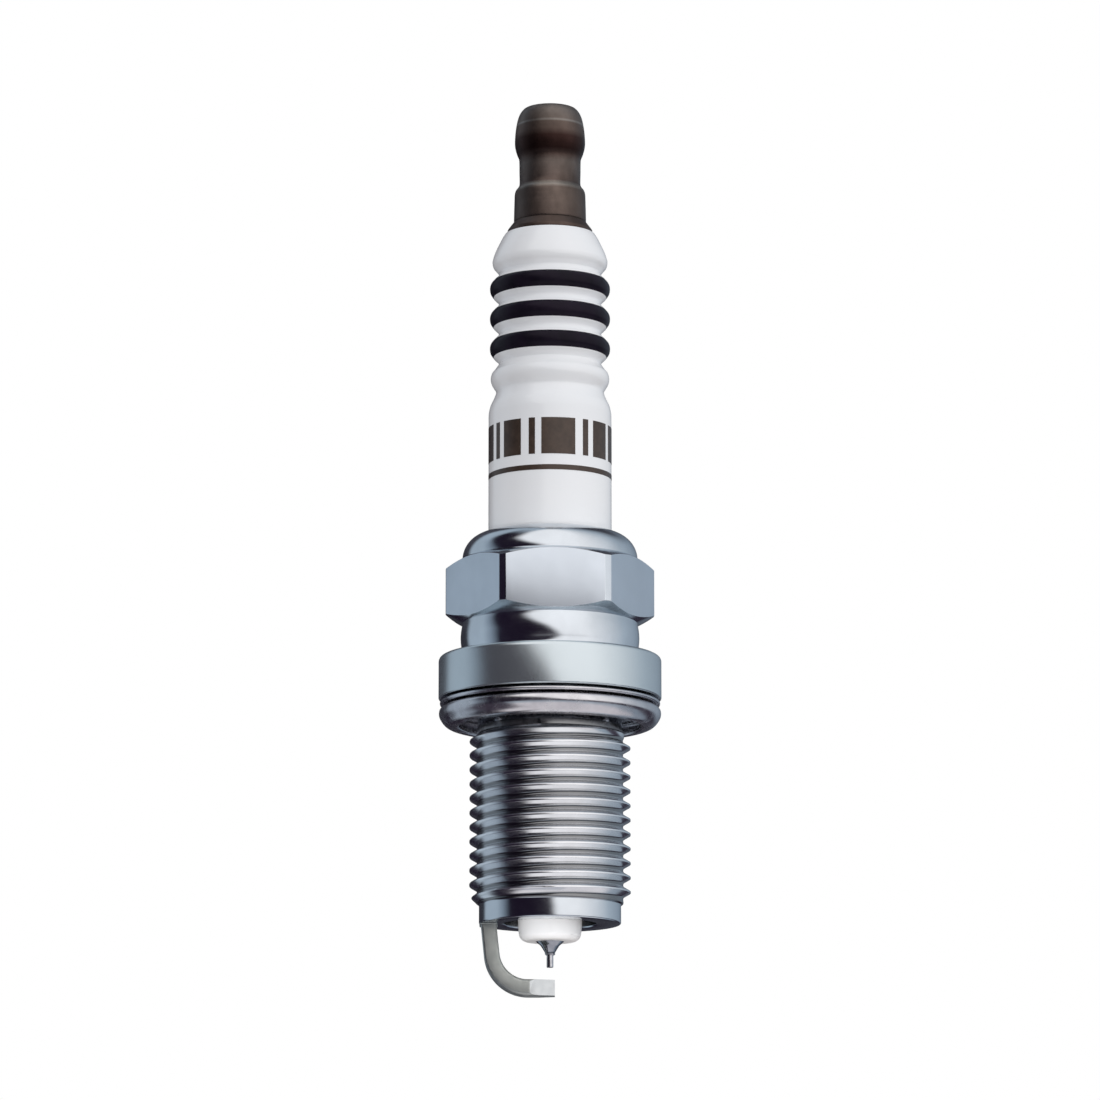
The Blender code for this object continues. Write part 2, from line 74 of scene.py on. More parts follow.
# Ground strap, its leg leaning inwards and its tip trimmed narrow
STRAP_TURN = math.radians(-3.4)
STRAP_HALF_WIDTH = 1.35
STRAP_HALF_THICKNESS = 0.68
STRAP_EDGE = 0.24
STRAP_LEG_X = -5.28
STRAP_LEG_Z = -25.02
STRAP_BEND = 3.15
STRAP_LEAN = math.radians(6)
STRAP_TIP_X = 0.42
STRAP_TAPER = 2.15
STRAP_TIP_HALF_WIDTH = 0.65

# Camera and floor, in metres
CAMERA_DISTANCE = 0.480
CAMERA_HEIGHT = -0.075
CAMERA_AIM_HEIGHT = 0.0132
CAMERA_TURN = math.radians(-3.4)
CAMERA_LENS = 183.68
FLOOR_Z = -0.110
FLOOR_REACH = 1.5
ROOM_COLOR = (0.56, 0.57, 0.6)


# ---------------------------------------------------------------- outlines


def arc(center_r, center_z, radius, start, end, steps):
    """Points of a round stretch, angles in degrees from the outward direction."""
    points = []
    for step in range(steps + 1):
        angle = math.radians(start + (end - start) * step / steps)
        points.append((center_r + radius * math.cos(angle), center_z + radius * math.sin(angle)))
    return points


def rounded(corners, steps=5):
    """An outline through corners (r, z, edge radius), each one eased by an arc of its radius."""
    points = []
    for index, (r, z, radius) in enumerate(corners):
        if radius == 0:
            points.append((r, z))
            continue
        here = Vector((r, z))
        into = (Vector(corners[index - 1][:2]) - here).normalized()
        out = (Vector(corners[(index + 1) % len(corners)][:2]) - here).normalized()
        half = into.angle(out) / 2
        center = here + (into + out).normalized() * radius / math.sin(half)
        first = here + into * radius / math.tan(half) - center
        last = here + out * radius / math.tan(half) - center
        sweep = math.pi - 2 * half
        for step in range(steps + 1):
            share = step / steps
            spoke = first * math.sin((1 - share) * sweep) + last * math.sin(share * sweep)
            points.append(tuple(center + spoke / math.sin(sweep)))
    return points


def eased(before, start, end, after, share):
    """One coordinate of the curve from start to end, which also heeds its two outer neighbours."""
    bend = 2 * before - 5 * start + 4 * end - after
    twist = 3 * start - before - 3 * end + after
    return 0.5 * (2 * start + (end - before) * share + bend * share**2 + twist * share**3)


def flowing(points, steps=5):
    """A smooth curve through every point."""
    ends = [points[0]] + points + [points[-1]]
    curve = []
    for quad in zip(ends, ends[1:], ends[2:], ends[3:]):
        for step in range(steps):
            curve.append(tuple(eased(*values, step / steps) for values in zip(*quad)))
    curve.append(points[-1])
    return curve


def sheet_section(line, thickness, end_steps=6):
    """The closed outline of a strip of sheet that follows a line, with round ends."""
    half = thickness / 2
    sides = ([], [])
    count = len(line)
    for index in range(count):
        before = Vector(line[max(index - 1, 0)])
        after = Vector(line[min(index + 1, count - 1)])
        along = (after - before).normalized()
        across = Vector((-along.y, along.x)) * half
        here = Vector(line[index])
        sides[0].append(tuple(here + across))
        sides[1].append(tuple(here - across))

    def cap(start, center):
        spoke = Vector(start) - Vector(center)
        return [
            tuple(Vector(center) + Matrix.Rotation(-math.pi * step / end_steps, 2) @ spoke)
            for step in range(1, end_steps)
        ]

    return sides[0] + cap(sides[0][-1], line[-1]) + sides[1][::-1] + cap(sides[1][0], line[0])


# ---------------------------------------------------------------- meshes


def finished(name, shape, sharp_degrees=35):
    """The object made of a bmesh, faces outward, smooth but for its real edges."""
    bmesh.ops.remove_doubles(shape, verts=shape.verts, dist=MERGE)
    bmesh.ops.dissolve_degenerate(shape, edges=shape.edges, dist=MERGE)
    bmesh.ops.recalc_face_normals(shape, faces=shape.faces)
    mesh = bpy.data.meshes.new(name)
    shape.to_mesh(mesh)
    shape.free()
    mesh.shade_smooth()
    mesh.set_sharp_from_angle(angle=math.radians(sharp_degrees))
    piece = bpy.data.objects.new(name, mesh)
    bpy.context.scene.collection.objects.link(piece)
    return piece


def ring(shape, radius, z, around):
    if radius == 0:
        return [shape.verts.new((0, 0, z * MM))]
    points = []
    for index in range(around):
        angle = 2 * math.pi * index / around
        x = radius * MM * math.cos(angle)
        y = radius * MM * math.sin(angle)
        points.append(shape.verts.new((x, y, z * MM)))
    return points


def join_rings(shape, rings, around):
    for upper, lower in rings:
        for index in range(around):
            following = (index + 1) % around
            corners = [
                upper[index % len(upper)],
                lower[index % len(lower)],
                lower[following % len(lower)],
                upper[following % len(upper)],
            ]
            corners = list(dict.fromkeys(corners))
            if len(corners) > 2:
                shape.faces.new(corners)


def add_turned(shape, outline, around, closed):
    rings = [ring(shape, r, z, around) for r, z in outline]
    pairs = list(zip(rings, rings[1:]))
    if closed:
        pairs.append((rings[-1], rings[0]))
    join_rings(shape, pairs, around)


def turned(name, outline, around=AROUND, closed=True):
    shape = bmesh.new()
    add_turned(shape, outline, around, closed)
    return finished(name, shape)


def thread_profile(pitch, root, crest):
    """(share of the pitch, radius) over one turn of a 60 degree thread, crest in the middle."""
    slope = math.tan(math.radians(30))
    crest_half = pitch / 16
    root_half = crest_half + (crest - root) * slope
    middle = pitch / 2
    ease = pitch * 0.04
    root_round = 0.98 * (middle - root_half) / slope
    corners = [
        (root, 0.0, 0),
        (root, middle - root_half, root_round),
        (crest, middle - crest_half, ease),
        (crest, middle + crest_half, ease),
        (root, middle + root_half, root_round),
        (root, pitch, 0),
    ]
    return [(z / pitch, r) for r, z in rounded(corners, 4)][:-1]


def threaded(name, pitch, core, crest, crest_z, low, high, strips, around):
    """A turned piece with a right-handed thread between low and high, its rows along the helix.

    The strips are the open outlines that close the rest of the piece."""
    profile = thread_profile(pitch, core, crest)
    fade = 0.5 * pitch
    turns_below = math.ceil((crest_z - low) / pitch) + 2
    first = crest_z - pitch * (turns_below + 0.5)
    turns = math.ceil((high - first) / pitch) + 2
    rows = []
    for turn in range(turns):
        rows += [(first + pitch * (turn + share), radius) for share, radius in profile]
    shape = bmesh.new()
    columns = []
    for index in range(around):
        angle = 2 * math.pi * index / around
        column = []
        for height, radius in rows:
            z = height + pitch * index / around
            share = max(0.0, min(1.0, (z - low) / fade, (high - z) / fade))
            r = (core + (radius - core) * share) * MM
            z = min(max(z, low), high) * MM
            column.append(shape.verts.new((r * math.cos(angle), r * math.sin(angle), z)))
        columns.append(column)
    last = len(rows) - 1
    for index in range(around):
        here = columns[index]
        beside = columns[(index + 1) % around]
        shift = len(profile) if index == around - 1 else 0
        for row in range(last):
            upper = min(row + 1 + shift, last)
            lower = min(row + shift, last)
            corners = list(dict.fromkeys([here[row], beside[lower], beside[upper], here[row + 1]]))
            shape.faces.new(corners)
    for strip in strips:
        add_turned(shape, strip, around, False)
    return finished(name, shape, 40)


def applied(piece):
    """Makes the piece's modifiers part of its mesh."""
    depsgraph = bpy.context.evaluated_depsgraph_get()
    piece.data = bpy.data.meshes.new_from_object(piece.evaluated_get(depsgraph))
    piece.modifiers.clear()
    return piece


def combine(piece, other, operation):
    step = piece.modifiers.new(operation.title(), "BOOLEAN")
    step.operation = operation
    step.solver = "EXACT"
    step.object = other
    applied(piece)
    bpy.data.objects.remove(other, do_unlink=True)


# ---------------------------------------------------------------- materials


class Finish:
    """A procedural material: its shader, and textures in the plug's own coordinates."""

    def __init__(self, name, color, metallic, roughness):
        self.material = bpy.data.materials.new(name)
        self.material.use_nodes = True
        self.tree = self.material.node_tree
        self.shader = self.tree.nodes["Principled BSDF"]
        self.shader.inputs["Base Color"].default_value = (*color, 1)
        self.shader.inputs["Metallic"].default_value = metallic
        self.shader.inputs["Roughness"].default_value = roughness
        self.place = self.tree.nodes.new("ShaderNodeTexCoord").outputs["Object"]

    def noise(self, scale, detail=4.0, stretch=(1, 1, 1)):
        mapping = self.tree.nodes.new("ShaderNodeMapping")
        mapping.inputs["Scale"].default_value = stretch
        texture = self.tree.nodes.new("ShaderNodeTexNoise")
        texture.inputs["Scale"].default_value = scale
        texture.inputs["Detail"].default_value = detail
        self.tree.links.new(self.place, mapping.inputs["Vector"])
        self.tree.links.new(mapping.outputs["Vector"], texture.inputs["Vector"])
        return texture.outputs["Fac"]

    def height(self, low, high):
        """0 below one height in millimetres and 1 above another."""
        split = self.tree.nodes.new("ShaderNodeSeparateXYZ")
        self.tree.links.new(self.place, split.inputs["Vector"])
        return self.mapped(split.outputs["Z"], low * MM, high * MM, 0, 1)

    def radius(self, low, high):
        """0 at one distance from the plug's axis in millimetres and 1 at another."""
        flat = self.tree.nodes.new("ShaderNodeVectorMath")
        flat.operation = "MULTIPLY"
        flat.inputs[1].default_value = (1, 1, 0)
        size = self.tree.nodes.new("ShaderNodeVectorMath")
        size.operation = "LENGTH"
        self.tree.links.new(self.place, flat.inputs[0])
        self.tree.links.new(flat.outputs["Vector"], size.inputs[0])
        return self.mapped(size.outputs["Value"], low * MM, high * MM, 0, 1)

    def mapped(self, value, low, high, to_low, to_high):
        step = self.tree.nodes.new("ShaderNodeMapRange")
        limits = {"From Min": low, "From Max": high, "To Min": to_low, "To Max": to_high}
        for name, number in limits.items():
            step.inputs[name].default_value = number
        self.tree.links.new(value, step.inputs["Value"])
        return step.outputs["Result"]

    def color(self, factor, stops):
        """Base colour from a ramp of (place, colour)."""
        ramp = self.tree.nodes.new("ShaderNodeValToRGB")
        elements = ramp.color_ramp.elements
        while len(elements) < len(stops):
            elements.new(0.5)
        for element, (position, shade) in zip(elements, stops):
            element.position = position
            element.color = (*shade, 1)
        self.tree.links.new(factor, ramp.inputs["Fac"])
        self.tree.links.new(ramp.outputs["Color"], self.shader.inputs["Base Color"])

    def cloud(self, factor, dark, light, low=0.3, high=0.7):
        """Darkens and lightens the base colour already there: random clouding on the browned steel, painted
        shade in the thread's roots.
        """
        base = self.shader.inputs["Base Color"]
        mix = self.tree.nodes.new("ShaderNodeMix")
        mix.data_type = "RGBA"
        mix.blend_type = "MULTIPLY"
        mix.inputs["Factor"].default_value = 1.0
        self.tree.links.new(base.links[0].from_socket, mix.inputs[6])
        self.tree.links.new(self.mapped(factor, low, high, dark, light), mix.inputs[7])
        self.tree.links.new(mix.outputs[2], base)

    def roughness(self, factor, low, high):
        result = self.mapped(factor, 0.3, 0.7, low, high)
        self.tree.links.new(result, self.shader.inputs["Roughness"])

    def bump(self, factor, depth):
        """Relief of that depth in millimetres, on top of any relief already there."""
        step = self.tree.nodes.new("ShaderNodeBump")
        step.inputs["Distance"].default_value = depth * MM
        step.inputs["Strength"].default_value = 1.0
        self.tree.links.new(factor, step.inputs["Height"])
        normal = self.shader.inputs["Normal"]
        if normal.is_linked:
            self.tree.links.new(normal.links[0].from_socket, step.inputs["Normal"])
        self.tree.links.new(step.outputs["Normal"], normal)

    def open_from_back(self):
        """Makes each face see-through from its back."""
        clear = self.tree.nodes.new("ShaderNodeBsdfTransparent")
        sides = self.tree.nodes.new("ShaderNodeNewGeometry")
        mix = self.tree.nodes.new("ShaderNodeMixShader")
        self.tree.links.new(sides.outputs["Backfacing"], mix.inputs["Fac"])
        self.tree.links.new(self.shader.outputs["BSDF"], mix.inputs[1])
        self.tree.links.new(clear.outputs["BSDF"], mix.inputs[2])
        self.tree.links.new(mix.outputs["Shader"], self.tree.nodes["Material Output"].inputs["Surface"])

    def onto(self, *pieces):
        for piece in pieces:
            piece.data.materials.clear()
            piece.data.materials.append(self.material)


TURNING = (0.02, 0.02, 1.0)


def plated(name, roughness, grain, tint=(0.63, 0.67, 0.712), clouding=0.09, metallic=1.0):
    """Bright zinc plate, faintly blue, with turning marks and a soft clouding."""
    finish = Finish(name, tint, metallic, roughness)
    dark = tuple(channel * (1 - clouding) for channel in tint)
    light = tuple(channel * (1 + clouding) for channel in tint)
    finish.color(finish.noise(260, 5), [(0.3, dark), (0.7, light)])
    smoother = roughness * (1 - 2 * clouding)
    rougher = roughness * (1 + 2 * clouding)
    finish.roughness(finish.noise(900, 6), smoother, rougher)
    finish.bump(finish.noise(1500, 3, TURNING), grain)
    return finish


def rolled_steel():
    finish = Finish("rolled_steel", (0.66, 0.65, 0.67), 1.0, 0.22)
    finish.color(finish.noise(400, 5), [(0.3, (0.52, 0.51, 0.54)), (0.7, (0.72, 0.71, 0.73))])
    finish.roughness(finish.noise(1200, 5), 0.16, 0.3)
    finish.bump(finish.noise(2500, 3, TURNING), 0.004)
    return finish


def soft_steel():
    finish = Finish("soft_steel", (0.45, 0.45, 0.47), 1.0, 0.4)
    finish.color(finish.noise(900), [(0.3, (0.38, 0.38, 0.4)), (0.7, (0.5, 0.5, 0.52))])
    finish.bump(finish.noise(3000), 0.01)
    return finish


# Height in millimetres and colour, up the stud's collar and the terminal nut. Over the steel's brown, the
# bands are painted light: painted shade under the bulb from 48.1 to 49.7, and painted highlight lines at
# 45.35 and 51.1
BROWN_AND_PAINTED_LIGHT_ZONES = [
    (41.4, (0.095, 0.068, 0.058)),
    (43.0, (0.125, 0.095, 0.082)),
    (45.0, (0.14, 0.108, 0.093)),
    (45.35, (0.32, 0.29, 0.26)),
    (45.7, (0.115, 0.085, 0.074)),
    (47.5, (0.16, 0.13, 0.115)),
    (48.1, (0.09, 0.06, 0.052)),
    (48.6, (0.034, 0.017, 0.015)),
    (49.7, (0.045, 0.024, 0.021)),
    (50.3, (0.115, 0.083, 0.071)),
    (50.95, (0.13, 0.098, 0.084)),
    (51.1, (0.26, 0.235, 0.215)),
    (51.25, (0.16, 0.13, 0.115)),
    (52.6, (0.2, 0.175, 0.16)),
]


def browned_steel():
    """Dark browned steel with turning marks in its relief, its colour banded by height with painted shade
    and painted highlights.
    """
    finish = Finish("browned_steel", (0.1, 0.07, 0.06), 1.0, 0.36)
    low, high = 41.0, 53.0
    stops = [((z - low) / (high - low), shade) for z, shade in BROWN_AND_PAINTED_LIGHT_ZONES]
    # Base colour by height: the brown, with painted shade and painted highlight bands
    finish.color(finish.height(low, high), stops)
    finish.cloud(finish.noise(420, 6, (1, 1, 0.55)), 0.72, 1.3)
    finish.roughness(finish.noise(1500, 5), 0.42, 0.56)
    finish.bump(finish.noise(2600, 3, TURNING), 0.012)
    finish.bump(finish.noise(7000, 2), 0.003)
    return finish


def alumina():
    """White glazed ceramic, left matt and unglazed below the shell's mouth."""
    finish = Finish("alumina", (0.9, 0.905, 0.91), 0.0, 0.1)
    finish.color(finish.noise(120, 3), [(0.3, (0.885, 0.895, 0.905)), (0.7, (0.915, 0.915, 0.915))])
    matt, glossy = 0.5, 0.12
    shine = finish.mapped(finish.height(-16, -12), 0, 1, matt, glossy)
    finish.tree.links.new(shine, finish.shader.inputs["Roughness"])
    finish.bump(finish.noise(350, 2), 0.006)
    finish.bump(finish.noise(6000, 2), 0.0012)
    return finish


def black_glaze():
    finish = Finish("black_glaze", (0.007, 0.004, 0.01), 0.0, 0.3)
    finish.color(finish.noise(700, 4), [(0.3, (0.005, 0.003, 0.008)), (0.7, (0.011, 0.006, 0.015))])
    finish.roughness(finish.noise(1500, 4), 0.3, 0.42)
    finish.shader.inputs["Specular IOR Level"].default_value = 0.12
    finish.bump(finish.noise(2500, 3), 0.004)
    return finish


def printed_ink():
    finish = Finish("printed_ink", (0.045, 0.026, 0.017), 0.0, 0.35)
    finish.color(finish.noise(1800, 4), [(0.3, (0.038, 0.022, 0.014)), (0.7, (0.06, 0.036, 0.024))])
    finish.bump(finish.noise(6000, 2), 0.002)
    return finish


def strap_nickel(name, dark, light, roughness, grain):
    finish = Finish(name, light, 1.0, roughness)
    finish.color(finish.noise(500, 5), [(0.3, dark), (0.7, light)])
    finish.roughness(finish.noise(1800, 5), roughness * 0.85, roughness * 1.2)
    finish.bump(finish.noise(2400, 3), grain)
    return finish


def bright_nickel():
    finish = Finish("bright_nickel", (0.4, 0.42, 0.46), 1.0, 0.16)
    finish.color(finish.noise(1600, 4), [(0.3, (0.32, 0.34, 0.38)), (0.7, (0.46, 0.48, 0.52))])
    finish.bump(finish.noise(4000, 3, TURNING), 0.003)
    return finish


def iridium():
    finish = Finish("iridium", (0.5, 0.5, 0.53), 1.0, 0.22)
    finish.color(finish.noise(3000, 4), [(0.3, (0.42, 0.42, 0.45)), (0.7, (0.6, 0.6, 0.63))])
    finish.bump(finish.noise(9000, 3), 0.002)
    return finish


def filling(name, dark, light, metallic, roughness, grain):
    """A granular or glassy inner piece."""
    finish = Finish(name, light, metallic, roughness)
    finish.color(finish.noise(2200, 6), [(0.35, dark), (0.65, light)])
    finish.bump(finish.noise(4500, 4), grain)
    return finish


# ---------------------------------------------------------------- pieces


def hexagon():
    """The wrench hexagon, its corners turned down and its ends chamfered by one turned blank."""
    low, high = HEXAGON_LOW_Z, HEXAGON_HIGH_Z
    half_across_flats, blank_length = 8.0, 9
    turned_radius, chamfer_slope, inner, corner_ease = 9.06, 0.55, 7.0, 0.07
    prism_radius = half_across_flats / math.cos(math.radians(30))
    rise = (turned_radius - inner) * chamfer_slope
    shape = bmesh.new()
    bmesh.ops.create_cone(
        shape,
        cap_ends=True,
        segments=6,
        radius1=prism_radius * MM,
        radius2=prism_radius * MM,
        depth=blank_length * MM,
    )
    turn = Matrix.Rotation(math.radians(30), 4, "Z")
    lift = Matrix.Translation((0, 0, (low + high) / 2 * MM))
    bmesh.ops.transform(shape, matrix=lift @ turn, verts=shape.verts)
    prism = finished("hexagon", shape)
    blank = turned(
        "hexagon_blank",
        [
            (0, high + rise),
            (inner, high + rise),
            (turned_radius, high),
            (turned_radius, low),
            (inner, low - rise),
            (0, low - rise),
        ],
        closed=False,
    )
    combine(prism, blank, "INTERSECT")
    ease = prism.modifiers.new("Eased edges", "BEVEL")
    ease.width = corner_ease * MM
    ease.segments = 2
    ease.limit_method = "ANGLE"
    ease.angle_limit = math.radians(20)
    return applied(prism)


def shell_head(polished, satin, flats):
    """Crimped lip, hexagon, neck, flange and gasket seat, down to the start of the barrel."""
    crimp_z, crimp_radius = 12.28, 2.25
    neck_steps = 8
    neck = []
    for step in range(neck_steps + 1):
        share = step / neck_steps
        bulge = NECK_BULGE * math.sin(math.pi * share)
        neck.append((NECK_RADIUS + bulge, NECK_TOP_Z - NECK_LENGTH * share, 0))
    outline = arc(BODY_RADIUS, crimp_z, crimp_radius, 88, 2, 24)
    outline += rounded(
        [
            (7.61, 11.9, 0),
            (NECK_RADIUS, HEXAGON_LOW_Z, 0.02),
            *neck,
            (NECK_RADIUS, FLANGE_TOP_Z, 0.22),
            (FLANGE_RADIUS, FLANGE_TOP_Z, 0.42),
            (FLANGE_RADIUS, 0.0, 0.16),
            (RELIEF_RADIUS, 0.0, 0.12),
            (RELIEF_RADIUS, SEAM_Z, 0),
            (BODY_BORE_RADIUS, SEAM_Z, 0),
            (BODY_BORE_RADIUS, 0.9, 0.1),
            (6.55, 2.1, 0.1),
            (6.55, 12.75, 0.1),
            (5.42, 13.75, 0.1),
            (5.42, 14.5, 0),
        ]
    )
    head = turned("shell_head", outline)
    combine(head, hexagon(), "UNION")
    head.data.shade_smooth()
    head.data.set_sharp_from_angle(angle=math.radians(18))
    polished.onto(head)
    head.data.materials.append(satin.material)
    head.data.materials.append(flats.material)
    satin_index, flats_index = 1, 2
    for face in head.data.polygons:
        radius = math.hypot(face.center.x, face.center.y) / MM
        z = face.center.z / MM
        on_flat = 7.75 < radius < 8.9 and 6.2 < z < 12.6
        if on_flat and abs(face.normal.z) < 0.3:
            face.material_index = flats_index
        elif 8.4 < radius and z < FLANGE_TOP_Z:
            face.material_index = satin_index
    return head


def shell_barrel(thread_plate, polished):
    """Threaded barrel with the plain collar at its end, open round the insulator's nose."""
    low, high, crest_z = -17.75, -2.98, -17.994
    strip = rounded(
        [
            (THREAD_CORE, low, 0),
            (6.11, low - 0.12, 0.08),
            (6.11, SHELL_END_Z, 0.14),
            (4.0, SHELL_END_Z, 0.12),
            (4.0, -7.8, 0.1),
            (3.6, -7.4, 0.05),
            (3.6, -6.35, 0.05),
            (BODY_BORE_RADIUS, -5.72, 0.1),
            (BODY_BORE_RADIUS, SEAM_Z, 0),
            (RELIEF_RADIUS, SEAM_Z, 0),
            (THREAD_CORE, SEAM_Z - 0.1, 0),
            (THREAD_CORE, high, 0),
        ]
    )
    barrel = threaded(
        "shell_barrel", THREAD_PITCH, THREAD_CORE, THREAD_CREST, crest_z, low, high, [strip], 160
    )
    thread_plate.onto(barrel)
    barrel.data.materials.append(polished.material)
    for face in barrel.data.polygons:
        if face.center.z < (low - 0.05) * MM:
            face.material_index = 1
    return barrel


def gasket_ring(steel):
    """Sealing ring folded from sheet, its lower lip staked inwards in three places."""
    thickness = 0.35
    line = [(9.36, -0.36), (8.3, -0.36), (7.1, -0.36)]
    line += arc(7.1, -0.595, 0.235, 90, 270, 8)[1:]
    line += [(8.1, -0.83), (8.95, -0.83)]
    line += flowing(
        [
            (9.2, -0.88),
            (9.4, -1.05),
            (9.42, -1.4),
            (9.25, -1.75),
            (9.0, -2.05),
            (8.7, -2.22),
            (8.35, -2.27),
            (8.05, -2.27),
        ],
        4,
    )
    piece = turned("gasket_ring", sheet_section(line, thickness))
    stake_angles = [math.radians(a) for a in (90, 210, 330)]
    stake_half = math.radians(5)
    reach, lift = 0.75, 0.3
    lip_top_z, lip_radius, lip_width = -1.95, 8.75, 0.85
    for vert in piece.data.vertices:
        radius = math.hypot(vert.co.x, vert.co.y) / MM
        if vert.co.z / MM > lip_top_z or radius > lip_radius:
            continue
        angle = math.atan2(vert.co.y, vert.co.x)
        nearest = min(abs((angle - a + math.pi) % (2 * math.pi) - math.pi) for a in stake_angles)
        press = max(0.0, 1 - (nearest / stake_half) ** 2) * (lip_radius - radius) / lip_width
        pushed = (radius - reach * press) / radius
        vert.co.x *= pushed
        vert.co.y *= pushed
        vert.co.z += lift * press * MM
    steel.onto(piece)
    return piece


def rib_skin(rib_z):
    """The glazed crest of a banded rib."""
    return flowing(
        [
            (4.955, rib_z + 0.7),
            (5.13, rib_z + 0.5),
            (5.23, rib_z + 0.28),
            (5.26, rib_z + 0.05),
            (5.24, rib_z - 0.18),
            (5.17, rib_z - 0.4),
            (4.935, rib_z - 0.73),
        ]
    )


def under_band(rib_z):
    return [(r - GLAZE_DEPTH, z) for r, z in rib_skin(rib_z)]


def banded_ribs():
    return [RIB_TOP_Z - RIB_PITCH * index for index in range(3)]


def insulator_body(ceramic):
    outline = flowing(
        [
            (3.95, 41.3),
            (4.2, 40.9),
            (4.5, 40.3),
            (4.8, 39.65),
            (5.0, 39.05),
            (5.04, 38.75),
            (4.95, 38.4),
            (4.7, 38.1),
            (4.48, 37.8),
        ]
    )
    for rib_z in banded_ribs():
        outline += flowing(
            [(4.48, rib_z + 1.25), (4.6, rib_z + 1.06), (4.83, rib_z + 0.84), (4.955, rib_z + 0.705)]
        )
        outline += under_band(rib_z)
        outline += flowing(
            [(4.935, rib_z - 0.735), (4.83, rib_z - 0.84), (4.63, rib_z - 1.02), (4.5, rib_z - 1.2)]
        )
    white = RIB_TOP_Z - 3 * RIB_PITCH
    outline += flowing(
        [
            (4.46, white + 1.3),
            (4.84, white + 0.75),
            (5.08, white + 0.45),
            (5.18, white),
            (5.08, white - 0.45),
            (4.76, white - 1.0),
            (4.72, 27.05),
            (4.92, 26.5),
            (5.2, 25.9),
            (5.34, 25.3),
            (BODY_RADIUS, 24.9),
        ]
    )
    outline += rounded(
        [
            (BODY_RADIUS, 24.5, 0),
            (BODY_RADIUS, 9.8, 0.3),
            (6.45, 9.1, 0.3),
            (6.45, 3.4, 0.3),
            (4.62, 2.2, 0.3),
            (4.62, -5.48, 0.1),
            (3.42, -6.14, 0.1),
            (3.36, -7.4, 0.2),
            (2.74, SHELL_END_Z, 0),
            (2.7, -20.15, 0),
        ]
    )
    outline += arc(1.95, -20.28, 0.72, 0, -90, 10)
    outline += [(1.24, -21.0), (1.24, -4.6), (2.0, -4.1), (2.0, 41.3)]
    piece = turned("insulator_body", outline)
    ceramic.onto(piece)
    return piece


def glaze_band(place, rib_z, glaze):
    piece = turned("glaze_band_" + place, rib_skin(rib_z) + under_band(rib_z)[::-1])
    glaze.onto(piece)
    return piece


def ink_marks(ink):
    """Plain printed bars round the insulator, front and back, each a thin raised film."""
    film = 0.015
    lift = 0.004
    step = math.radians(2)
    front = math.radians(-93.4)
    bars = [(-86, -66), (-60, -54), (-48, -28), (-20, -14), (-8, 24), (32, 38), (44, 64), (70, 88)]
    rule = [(-86, 88)]
    shape = bmesh.new()
    for around, spans, low, high in (
        (front, bars, 20.7, 23.9),
        (front, rule, 19.3, 19.75),
        (front + math.pi, bars[2:6], 20.7, 22.3),
    ):
        for start, end in spans:
            start_angle = around + math.radians(start)
            width = math.radians(end - start)
            count = max(2, round(width / step))
            columns = []
            for index in range(count + 1):
                angle = start_angle + width * index / count
                columns.append(
                    [
                        shape.verts.new((r * MM * math.cos(angle), r * MM * math.sin(angle), z * MM))
                        for r, z in (
                            (BODY_RADIUS + lift, low),
                            (BODY_RADIUS + lift + film, low),
                            (BODY_RADIUS + lift + film, high),
                            (BODY_RADIUS + lift, high),
                        )
                    ]
                )
            for here, beside in zip(columns, columns[1:]):
                for corner in range(4):
                    after = (corner + 1) % 4
                    shape.faces.new([here[corner], here[after], beside[after], beside[corner]])
            shape.faces.new(columns[0])
            shape.faces.new(columns[-1])
    piece = finished("ink_marks", shape)
    ink.onto(piece)
    return piece


def stud(steel):
    """Threaded top, flared collar that sits on the insulator, shank and grooved foot."""
    low, high = 42.75, 50.35
    foot = []
    for index in range(4):
        top = 18.2 - index
        foot += [(1.9, top, 0.05), (1.7, top - 0.25, 0.05), (1.7, top - 0.5, 0.05), (1.9, top - 0.75, 0.05)]
    lower = rounded(
        [
            (STUD_CORE, low, 0),
            (STUD_CORE, STUD_COLLAR_Z, 0.1),
            (3.18, STUD_COLLAR_Z, 0.08),
            (3.72, 41.68, 0.12),
            (3.75, 41.33, 0.08),
            (1.9, 41.33, 0.1),
            *foot,
            (1.9, 13.6, 0.25),
            (0, 13.6, 0),
        ]
    )
    upper = rounded([(0, 50.9, 0), (1.25, 50.9, 0.08), (STUD_CORE, 50.5, 0.08), (STUD_CORE, high, 0)])
    piece = threaded("stud", 0.7, STUD_CORE, 1.98, 43.05, low, high, [lower, upper], AROUND_SMALL)
    steel.onto(piece)
    return piece


def nut(steel):
    """Screw-on terminal: a bulb for the ignition cap's clip, a neck and a skirt."""
    outline = [(0, 52.78)]
    outline += flowing(
        [
            (1.85, 52.78),
            (2.2, 52.7),
            (2.45, 52.5),
            (2.68, 52.15),
            (2.87, 51.6),
            (3.02, 50.75),
            (3.09, 49.8),
            (3.06, 49.2),
            (2.9, 48.6),
            (2.74, 48.2),
            (2.7, 47.85),
            (2.69, 46.9),
            (2.68, 45.9),
            (2.8, 45.55),
            (3.02, 45.25),
            (3.1, 44.95),
            (3.12, 44.6),
            (3.15, 43.5),
            (3.17, 42.6),
        ],
        4,
    )
    outline += rounded(
        [
            (3.17, 42.5, 0),
            (3.14, 42.44, 0),
            (2.3, 42.44, 0.04),
            (2.08, 42.66, 0.04),
            (2.08, 51.1, 0),
            (0, 51.5, 0),
        ]
    )
    piece = turned("nut", outline, 128, closed=False)
    steel.onto(piece)
    return piece


